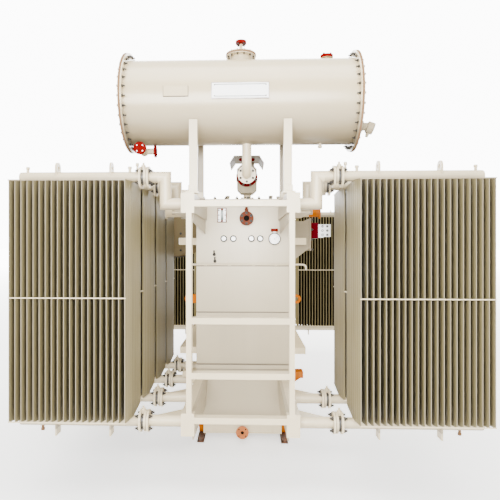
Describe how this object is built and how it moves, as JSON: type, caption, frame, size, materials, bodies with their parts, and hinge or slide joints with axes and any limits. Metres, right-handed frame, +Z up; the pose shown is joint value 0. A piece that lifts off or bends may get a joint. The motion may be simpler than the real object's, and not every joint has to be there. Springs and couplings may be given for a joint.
{
  "type": "inverter duty transformer",
  "caption": "Oil-filled power transformer: tall tank on rollers, finned radiators on box headers, drum conservator on legs, gas relay, cable box and bus palms.",
  "frame": {"origin": "on the ground, under the middle of the whole outline", "axes": "+Z up; +Y from the conservator end to the far end; +X to the right seen from the conservator end"},
  "size_m": [3.572, 5.644, 3.549],
  "materials": {
    "tank_paint": "semi-gloss cream paint",
    "radiator_paint": "semi-gloss beige paint",
    "valve_iron": "painted castings with dark bolts",
    "red_paint": "gloss red paint",
    "orange_paint": "gloss orange paint",
    "primer_orange": "red oxide primer",
    "rail_steel": "rust brown",
    "axle_steel": "turned steel",
    "white_enamel": "white enamel",
    "bus_metal": "tinned bar",
    "red_sleeve": "shrink sleeve",
    "yellow_sleeve": "shrink sleeve",
    "blue_sleeve": "shrink sleeve",
    "conduit_steel": "galvanised"
  },
  "bodies": {
    "root": {"axles": "axle_steel", "base_beams": "tank_paint", "base_cross_beams": "tank_paint", "blue_bus_sleeve": "blue_sleeve", "bottom_headers": "tank_paint", "bottom_pipes": "tank_paint", "bus_bars": "bus_metal", "cable_box": "tank_paint", "conservator_drum": "tank_paint", "conservator_legs": "tank_paint", "dial_thermometer": "white_enamel", "drain_valve": "primer_orange", "drum_drain_tee": "red_paint", "drum_pipe": "tank_paint", "filler_nozzle": "red_paint", "filter_valve": "primer_orange", "frame_beams": "tank_paint", "frame_posts": "tank_paint", "gas_relay": "valve_iron", "gauge_conduit": "conduit_steel", "gland_plate": "tank_paint", "hauling_eyes": "orange_paint", "header_plates": "tank_paint", "inspection_neck": "tank_paint", "jacking_brackets": "orange_paint", "left_end_cover": "tank_paint", "lifting_bollards": "orange_paint", "lv_turret": "tank_paint", "name_plate": "white_enamel", "oil_level_gauge": "white_enamel", "pad_plate": "tank_paint", "radiator_left_1": "radiator_paint", "radiator_left_2": "radiator_paint", "radiator_left_3": "radiator_paint", "radiator_left_4": "radiator_paint", "radiator_left_5": "radiator_paint", "radiator_left_6": "radiator_paint", "radiator_right_1": "radiator_paint", "radiator_right_2": "radiator_paint", "radiator_right_3": "radiator_paint", "radiator_right_4": "radiator_paint", "radiator_tie_bars": "radiator_paint", "radiator_valves": "valve_iron", "rails": "rail_steel", "red_bus_sleeve": "red_sleeve", "relay_hood": "tank_paint", "relay_valve": "red_paint", "right_end_cover": "tank_paint", "rollers": "orange_paint", "side_stiffeners": "tank_paint", "sight_gauge": "white_enamel", "tank_cover": "tank_paint", "tank_floor": "tank_paint", "tank_pipe": "tank_paint", "tank_shell": "tank_paint", "thermometer_pockets": "white_enamel", "top_headers": "tank_paint", "top_pipes": "tank_paint", "vent_pipe": "red_paint", "yellow_bus_sleeve": "yellow_sleeve"}
  },
  "joints": []
}
